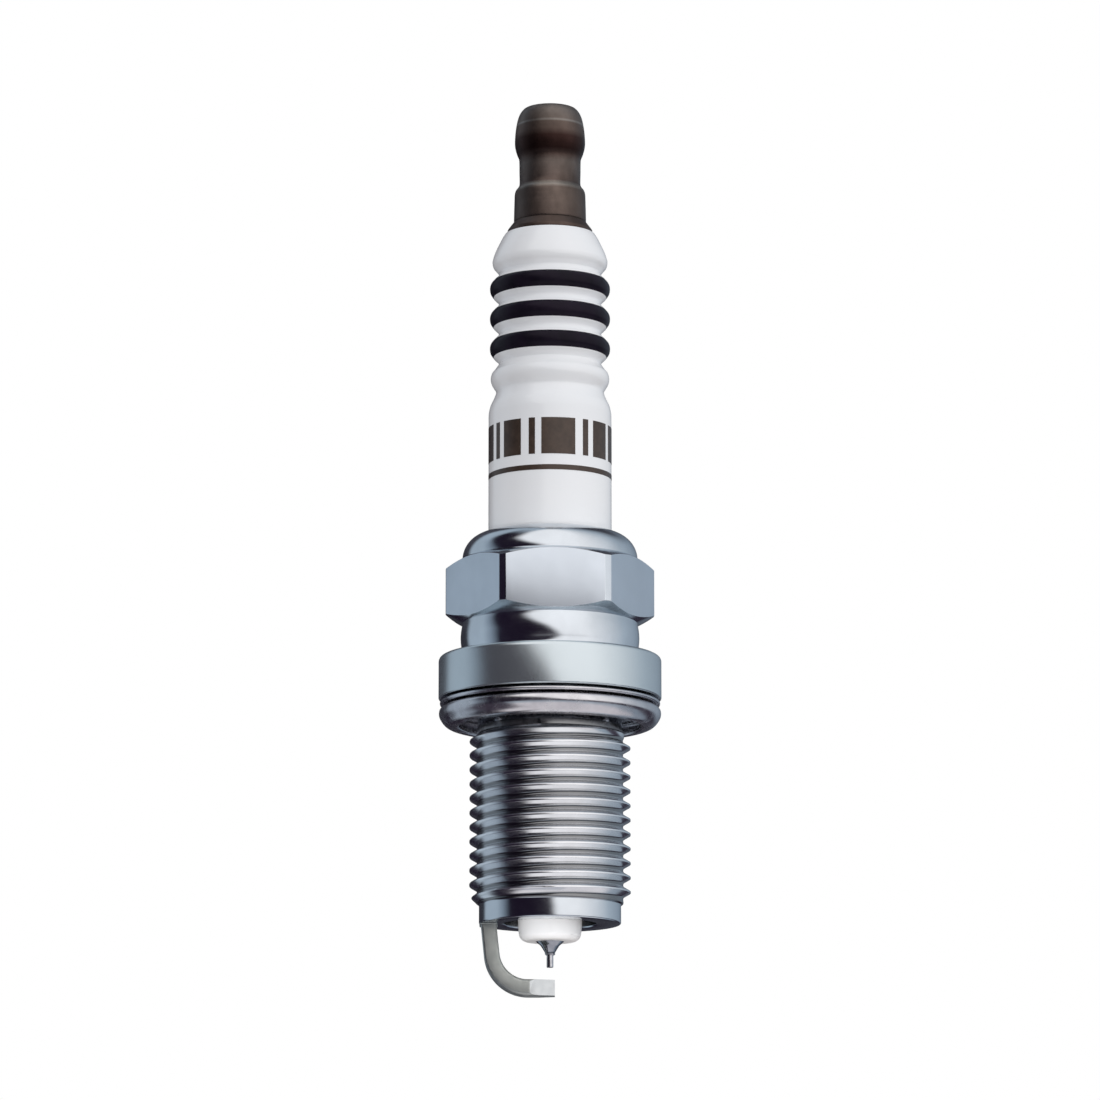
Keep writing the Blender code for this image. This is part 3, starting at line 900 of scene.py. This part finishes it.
def electrode_sheath(nickel):
    outline = rounded(
        [
            (0, -19.4, 0),
            (0.63, -19.0, 0),
            (0.63, -3.0, 0),
            (1.88, -3.0, 0.1),
            (1.88, -4.05, 0.1),
            (1.18, -4.55, 0.1),
            (1.18, -21.02, 0.06),
            (0.8, -21.35, 0.5),
            (0.46, -21.9, 0.2),
            (0.44, -22.0, 0.03),
            (0.32, -22.0, 0),
            (0.32, -21.67, 0),
            (0, -21.67, 0),
        ],
        4,
    )
    piece = turned("electrode_sheath", outline, AROUND_SMALL, closed=False)
    nickel.onto(piece)
    return piece


def weld_bead(metal):
    """Laser weld between cone and pin, slightly lumpy round its rim."""
    middle_radius, middle_z, bead = 0.32, -22.03, 0.13
    rim_radius, lump_height, lumps = 0.33, 0.012, 9
    outline = arc(middle_radius, middle_z, bead, 0, -90, 6) + [(middle_radius, middle_z)]
    piece = turned("weld_bead", outline, AROUND_SMALL)
    for vert in piece.data.vertices:
        angle = math.atan2(vert.co.y, vert.co.x)
        if math.hypot(vert.co.x, vert.co.y) > rim_radius * MM:
            vert.co.z += lump_height * MM * math.sin(lumps * angle)
    metal.onto(piece)
    return piece


def spark_pin(metal):
    outline = rounded([(0, -21.7, 0), (0.29, -21.7, 0.02), (0.29, -23.22, 0.05), (0, -23.22, 0)])
    piece = turned("spark_pin", outline, 64, closed=False)
    metal.onto(piece)
    return piece


def rounded_box(half_x, half_y, edge, steps=4):
    """A rounded rectangle's outline, anticlockwise."""
    points = []
    for quarter, (sign_x, sign_y) in enumerate(((1, 1), (-1, 1), (-1, -1), (1, -1))):
        points += arc(
            sign_x * (half_x - edge), sign_y * (half_y - edge), edge, 90 * quarter, 90 * quarter + 90, steps
        )
    return points


def strap_path():
    """Stations (x, z, direction angle) along the strap's middle, from the weld to the tip."""
    center_z = STRAP_LEG_Z + STRAP_BEND
    top_z = SHELL_END_Z - 0.03
    length = (top_z - center_z) / math.cos(STRAP_LEAN) + STRAP_BEND * math.tan(STRAP_LEAN)
    center_x = STRAP_LEG_X + length * math.sin(STRAP_LEAN) + STRAP_BEND * math.cos(STRAP_LEAN)
    stations = [(STRAP_LEG_X, top_z, -math.pi / 2)]
    bend_steps = 28
    for step in range(bend_steps + 1):
        angle = math.pi + STRAP_LEAN + (math.pi / 2 - STRAP_LEAN) * step / bend_steps
        x = center_x + STRAP_BEND * math.cos(angle)
        z = center_z + STRAP_BEND * math.sin(angle)
        stations.append((x, z, angle + math.pi / 2))
    stations.append((STRAP_TIP_X, STRAP_LEG_Z, 0.0))
    return stations


def strap(matt, trimmed):
    """Bent rectangular wire, its tip trimmed to a narrow nose by two straight cuts."""
    shape = bmesh.new()
    section = rounded_box(STRAP_HALF_THICKNESS, STRAP_HALF_WIDTH, STRAP_EDGE)
    loops = []
    for x, z, heading in strap_path():
        out_x, out_z = math.sin(heading), -math.cos(heading)
        if not loops:
            out_x, out_z = -1.0, 0.0
        loops.append(
            [
                shape.verts.new(((x + out_x * u) * MM, v * MM, (z + out_z * u) * MM))
                for u, v in section
            ]
        )
    count = len(section)
    for here, beside in zip(loops, loops[1:]):
        for index in range(count):
            after = (index + 1) % count
            shape.faces.new([here[index], here[after], beside[after], beside[index]])
    shape.faces.new(loops[0])
    shape.faces.new(loops[-1])
    bmesh.ops.recalc_face_normals(shape, faces=shape.faces)
    slope = math.atan2(STRAP_HALF_WIDTH - STRAP_TIP_HALF_WIDTH, STRAP_TAPER)
    start_x = STRAP_TIP_X - STRAP_TAPER
    for side in (-1, 1):
        cut = bmesh.ops.bisect_plane(
            shape,
            geom=shape.verts[:] + shape.edges[:] + shape.faces[:],
            plane_co=(start_x * MM, side * STRAP_HALF_WIDTH * MM, 0),
            plane_no=(math.sin(slope), side * math.cos(slope), 0),
            clear_outer=True,
        )
        rim = [item for item in cut["geom_cut"] if isinstance(item, bmesh.types.BMEdge)]
        bmesh.ops.holes_fill(shape, edges=rim, sides=0)
    piece = finished("strap", shape, 25)
    piece.data.transform(Matrix.Rotation(STRAP_TURN, 4, "Z"))
    matt.onto(piece)
    piece.data.materials.append(trimmed.material)
    tip_edge = (STRAP_TIP_X - STRAP_TAPER) * MM
    for face in piece.data.polygons:
        cut_face = abs(face.normal.y) > 0.85 and abs(face.normal.x) > 0.15
        if face.center.x > tip_edge and (cut_face or face.normal.x > 0.9):
            face.material_index = 1
    return piece


def strap_weld(metal):
    """Low bead of metal squeezed out round the strap's foot when it was welded on."""
    shape = bmesh.new()
    bead, outset, sink = 0.09, 0.01, 0.06
    swelling, lobes, flattening = 0.18, 5, 0.7
    path = rounded_box(STRAP_HALF_THICKNESS + outset, STRAP_HALF_WIDTH + outset, STRAP_EDGE, 8)
    count = len(path)
    sides = 10
    loops = []
    for index, (u, v) in enumerate(path):
        before, after = path[index - 1], path[(index + 1) % count]
        along = Vector((after[0] - before[0], after[1] - before[1], 0)).normalized()
        out = Vector((along.y, -along.x, 0))
        swell = bead * (1 + swelling * math.sin(lobes * 2 * math.pi * index / count))
        loops.append([])
        for side in range(sides):
            angle = 2 * math.pi * side / sides
            spot = Vector((STRAP_LEG_X + u, v, SHELL_END_Z - sink))
            rise = flattening * swell * math.sin(angle)
            spot += out * swell * math.cos(angle) + Vector((0, 0, rise))
            loops[-1].append(shape.verts.new(spot * MM))
    for index in range(count):
        here, beside = loops[index], loops[(index + 1) % count]
        for side in range(sides):
            after = (side + 1) % sides
            shape.faces.new([here[side], here[after], beside[after], beside[side]])
    piece = finished("strap_weld", shape)
    piece.data.transform(Matrix.Rotation(STRAP_TURN, 4, "Z"))
    metal.onto(piece)
    return piece


# ---------------------------------------------------------------- assembly


def settle(piece, body, slot, *nodes):
    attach(piece, body)
    if nodes:
        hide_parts(*nodes)


def build_plug():
    polished = plated("plated_polished", 0.15, 0.003)
    satin = plated("plated_satin", 0.25, 0.0005, (0.6, 0.66, 0.69), 0.025, 0.92)
    flats = plated("plated_flats", 0.36, 0.0005, (0.65, 0.7, 0.76), 0.035)
    # Painted light on the thread: its plate is tinted lighter than the rest of the shell's, and the next
    # line darkens its roots to 0.3 of that as painted shade
    thread_plate = plated("plated_thread", 0.18, 0.0015, (0.8, 0.81, 0.83), 0.06)
    thread_plate.cloud(thread_plate.radius(THREAD_CORE, THREAD_CREST), 0.3, 1.0, 0.02, 0.16)
    bright_steel = rolled_steel()
    brown = browned_steel()
    pin_metal = iridium()
    strap_metal = strap_nickel("strap_nickel", (0.43, 0.45, 0.43), (0.53, 0.55, 0.52), 0.45, 0.003)
    cut_metal = strap_nickel("strap_trimmed", (0.6, 0.63, 0.64), (0.68, 0.7, 0.71), 0.34, 0.0008)

    settle(shell_head(polished, satin, flats), "plug", "plated_steel", "metal_shell")
    settle(shell_barrel(thread_plate, polished), "plug", "plated_steel", "metal_shell")
    settle(gasket_ring(bright_steel), "gasket", "gasket_steel", "gasket")
    settle(insulator_body(alumina()), "plug", "insulator_ceramic", "insulator")
    glaze = black_glaze()
    for place, rib_z in zip(("upper", "middle", "lower"), banded_ribs()):
        settle(glaze_band(place, rib_z, glaze), "plug", "black_glaze", "black_band_" + place)
    settle(ink_marks(printed_ink()), "plug", "black_glaze")
    settle(stud(brown), "plug", "stud_steel", "terminal_stud")
    settle(nut(brown), "terminal_nut", "nut_steel", "terminal_nut")
    settle(electrode_sheath(bright_nickel()), "plug", "nickel_alloy", "centre_electrode_sheath")
    settle(weld_bead(pin_metal), "plug", "iridium", "pin_weld_bead")
    settle(spark_pin(pin_metal), "plug", "iridium", "iridium_pin")
    settle(strap(strap_metal, cut_metal), "plug", "strap_nickel", "ground_strap")
    settle(strap_weld(strap_metal), "plug", "strap_nickel")


def finish_inner_pieces():
    """The sealed pieces keep their own solids and get a worked surface."""
    nodes = frame["nodes"]
    soft_steel().onto(nodes["plate_packing"], nodes["lower_ring_packing"], nodes["upper_ring_packing"])
    filling("pressed_talc", (0.7, 0.69, 0.66), (0.82, 0.81, 0.78), 0, 0.9, 0.03).onto(
        nodes["talc_filling"]
    )
    filling("seal_glass", (0.05, 0.035, 0.03), (0.2, 0.12, 0.08), 0.4, 0.4, 0.01).onto(
        nodes["upper_glass_seal"], nodes["lower_glass_seal"]
    )
    filling("carbon_glass", (0.015, 0.015, 0.015), (0.05, 0.05, 0.05), 0, 0.7, 0.02).onto(
        nodes["resistor_element"]
    )
    filling("copper", (0.68, 0.3, 0.18), (0.8, 0.42, 0.28), 1, 0.3, 0.005).onto(
        nodes["centre_electrode_copper_core"]
    )


# ---------------------------------------------------------------- studio


def glow(name, color):
    """A material that gives off that colour evenly."""
    material = bpy.data.materials.new(name)
    material.use_nodes = True
    tree = material.node_tree
    tree.nodes.clear()
    output = tree.nodes.new("ShaderNodeOutputMaterial")
    light = tree.nodes.new("ShaderNodeEmission")
    light.inputs["Color"].default_value = (*color, 1)
    light.inputs["Strength"].default_value = 1.0
    tree.links.new(light.outputs["Emission"], output.inputs["Surface"])
    return material


def painted_row(places, colors):
    return list(zip(places, colors))


DARK = (0.014, 0.009, 0.02)
BACK = (0.06, 0.06, 0.075)
FAR = (0.035, 0.035, 0.045)
STEEL = (0.27, 0.33, 0.4)
BLUE = (0.44, 0.52, 0.6)
MID = (0.46, 0.53, 0.6)
WHITE = (1.2, 1.18, 1.18)
PALE = (0.76, 0.74, 0.77)
GLOOM = (0.05, 0.04, 0.06)

# What the plated surfaces mirror. For each elevation, colours at azimuths: 0 is where the camera
# stands, + is to its right. Between two elevations, each stop slides and blends into the next one.
BELOW = painted_row((-180, -172, -160, -120, -100, -76, -60, -45, 20, 60, 120, 180), [PALE] * 12)
BELOW_LEFT = painted_row(
    (-180, -166, -158, -110, -98, -76, -54, -42, 20, 60, 120, 180),
    (PALE, PALE, DARK, DARK, GLOOM, GLOOM, GLOOM, PALE, PALE, PALE, PALE, PALE),
)
BELOW_RIM = painted_row(
    (-180, -166, -150, -120, -98, -76, -54, -42, 20, 60, 120, 180),
    (FAR, FAR, BLUE, BLUE, GLOOM, GLOOM, GLOOM, MID, MID, MID, STEEL, STEEL),
)
HORIZON = painted_row(
    (-180, -134, -122, -98, -86, -76, -62, -50, 20, 60, 120, 180),
    (DARK, DARK, BLUE, BLUE, GLOOM, DARK, DARK, DARK, GLOOM, GLOOM, GLOOM, DARK),
)
AHEAD_LOW = painted_row(
    (-180, -136, -126, -94, -82, -68, 8, 18, 50, 110, 150, 180),
    (FAR, FAR, BLUE, BLUE, STEEL, DARK, DARK, WHITE, WHITE, MID, STEEL, FAR),
)
AHEAD = painted_row(
    (-180, -136, -126, -94, -82, -68, -10, 0, 45, 110, 150, 180),
    (FAR, FAR, BLUE, BLUE, STEEL, DARK, DARK, WHITE, WHITE, MID, STEEL, BACK),
)
AHEAD_HIGH = painted_row(
    (-180, -142, -130, -104, -92, -80, -38, -24, 45, 110, 150, 180),
    (BACK, BACK, BLUE, BLUE, STEEL, DARK, DARK, WHITE, WHITE, MID, STEEL, BACK),
)
RAISED = painted_row(
    (-180, -150, -138, -124, -112, -98, -62, -44, 45, 110, 140, 180),
    (BACK, BACK, BLUE, BLUE, BLUE, DARK, DARK, WHITE, WHITE, MID, BACK, BACK),
)
OVERHEAD = painted_row(
    (-180, -150, -138, -124, -112, -98, -66, -48, 45, 110, 140, 180),
    (BACK, BACK, BLUE, BLUE, BLUE, BLUE, MID, WHITE, WHITE, MID, BACK, BACK),
)
SURROUND = [
    (-89, BELOW),
    (-66, BELOW),
    (-60, BELOW_LEFT),
    (-45, BELOW_LEFT),
    (-38, BELOW_RIM),
    (-28, BELOW_RIM),
    (-24, HORIZON),
    (-13, HORIZON),
    (-9, AHEAD_LOW),
    (9, AHEAD),
    (26, AHEAD_HIGH),
    (44, RAISED),
    (60, RAISED),
    (78, OVERHEAD),
    (89, OVERHEAD),
]


def mixed(first, second, share):
    return tuple(a + (b - a) * share for a, b in zip(first, second))


def between(stops, place):
    """The two neighbouring stops round a place, and how far it lies from the first to the second."""
    for lower, upper in zip(stops, stops[1:]):
        if place <= upper[0]:
            return lower, upper, (place - lower[0]) / (upper[0] - lower[0])
    return stops[-1], stops[-1], 0.0


def surround():
    """A painted shell round the object, seen only in reflections."""
    distance, columns, lines, steepest = 0.9, 180, 89, 89
    shape = bmesh.new()
    rows = []
    colors = []
    for line in range(lines + 1):
        degrees = -steepest + 2 * steepest * line / lines
        lower, upper, share = between(SURROUND, degrees)
        stops = [
            (one[0] + (other[0] - one[0]) * share, mixed(one[1], other[1], share))
            for one, other in zip(lower[1], upper[1])
        ]
        elevation = math.radians(degrees)
        rows.append([])
        for column in range(columns + 1):
            place = -180 + 360 * column / columns
            left, right, across = between(stops, place)
            colors.append(mixed(left[1], right[1], across))
            azimuth = math.radians(place) + CAMERA_TURN
            spot = Vector(
                (
                    math.sin(azimuth) * math.cos(elevation),
                    -math.cos(azimuth) * math.cos(elevation),
                    math.sin(elevation),
                )
            )
            rows[-1].append(shape.verts.new(spot * distance))
    for lower, upper in zip(rows, rows[1:]):
        for column in range(columns):
            shape.faces.new([lower[column], lower[column + 1], upper[column + 1], upper[column]])
    mesh = bpy.data.meshes.new("surround")
    shape.to_mesh(mesh)
    shape.free()
    paint = mesh.color_attributes.new("paint", "FLOAT_COLOR", "POINT")
    for entry, color in zip(paint.data, colors):
        entry.color = (*color, 1)
    piece = bpy.data.objects.new("surround", mesh)
    bpy.context.scene.collection.objects.link(piece)
    material = glow("surround_glow", (1, 1, 1))
    tree = material.node_tree
    painted = tree.nodes.new("ShaderNodeAttribute")
    painted.attribute_name = "paint"
    tree.links.new(painted.outputs["Color"], tree.nodes["Emission"].inputs["Color"])
    mesh.materials.append(material)
    piece.visible_camera = False
    piece.visible_shadow = False
    piece.visible_diffuse = False


def shade_below():
    """A dim disc under the object, which keeps the light off its undersides and isn't mirrored."""
    radius, height, dim = 0.09, -0.052, (0.4, 0.36, 0.34)
    shape = bmesh.new()
    bmesh.ops.create_circle(shape, cap_ends=True, radius=radius, segments=48)
    bmesh.ops.translate(shape, verts=shape.verts, vec=(0, 0, height))
    disc = finished("shade_below", shape)
    disc.data.materials.append(glow("shade_below_glow", dim))
    disc.visible_camera = False
    disc.visible_shadow = False
    disc.visible_glossy = False


def softbox(name, azimuth, elevation, distance, size, power, aim_z=0.013, spread=180):
    lamp = bpy.data.lights.new(name, "AREA")
    lamp.spread = math.radians(spread)
    lamp.shape = "RECTANGLE"
    lamp.size, lamp.size_y = size
    lamp.energy = power
    stand = bpy.data.objects.new(name, lamp)
    around = math.radians(azimuth) + CAMERA_TURN
    up = math.radians(elevation)
    out = Vector((math.sin(around) * math.cos(up), -math.cos(around) * math.cos(up), math.sin(up)))
    stand.location = out * distance + Vector((0, 0, aim_z))
    stand.rotation_euler = out.to_track_quat("Z", "Y").to_euler()
    stand.visible_camera = False
    stand.visible_glossy = False
    bpy.context.scene.collection.objects.link(stand)


def white_room():
    """A white backdrop that lights the object only softly."""
    world = bpy.data.worlds.new("studio")
    world.use_nodes = True
    tree = world.node_tree
    soft = tree.nodes["Background"]
    soft.inputs["Color"].default_value = (*ROOM_COLOR, 1)
    seen = tree.nodes.new("ShaderNodeBackground")
    seen.inputs["Color"].default_value = (1, 1, 1, 1)
    mix = tree.nodes.new("ShaderNodeMixShader")
    rays = tree.nodes.new("ShaderNodeLightPath")
    tree.links.new(rays.outputs["Is Camera Ray"], mix.inputs["Fac"])
    tree.links.new(soft.outputs["Background"], mix.inputs[1])
    tree.links.new(seen.outputs["Background"], mix.inputs[2])
    tree.links.new(mix.outputs["Shader"], tree.nodes["World Output"].inputs["Surface"])
    return world


def studio():
    scene = bpy.context.scene
    scene.view_settings.view_transform = "Standard"
    scene.world = white_room()

    shape = bmesh.new()
    bmesh.ops.create_grid(shape, x_segments=8, y_segments=8, size=FLOOR_REACH)
    bmesh.ops.translate(shape, verts=shape.verts, vec=(0, 0, FLOOR_Z))
    floor = finished("floor", shape)
    pale = Finish("pale_floor", (0.86, 0.86, 0.87), 0.0, 0.6)
    pale.color(pale.noise(6, 3), [(0.3, (0.84, 0.84, 0.85)), (0.7, (0.88, 0.88, 0.885))])
    # The grid's faces end up pointing down, so the floor is see-through from above, not from beneath
    pale.open_from_back()
    pale.onto(floor)
    floor.visible_glossy = False

    surround()
    shade_below()
    softbox("key", 42, 28, 1.0, (0.9, 1.1), 4.4)
    softbox("nose_fill", -8, -18, 0.3, (0.05, 0.05), 0.0065, aim_z=-0.03, spread=14)


def place_camera():
    lens = bpy.data.cameras.new("camera")
    lens.lens = CAMERA_LENS
    lens.sensor_width = 36
    lens.clip_start = 0.01
    camera = bpy.data.objects.new("camera", lens)
    camera.location = (
        CAMERA_DISTANCE * math.sin(CAMERA_TURN),
        -CAMERA_DISTANCE * math.cos(CAMERA_TURN),
        CAMERA_HEIGHT,
    )
    look = Vector((0, 0, CAMERA_AIM_HEIGHT)) - camera.location
    camera.rotation_euler = look.to_track_quat("-Z", "Y").to_euler()
    bpy.context.scene.collection.objects.link(camera)
    bpy.context.scene.camera = camera


place_camera()
build_plug()
finish_inner_pieces()
studio()
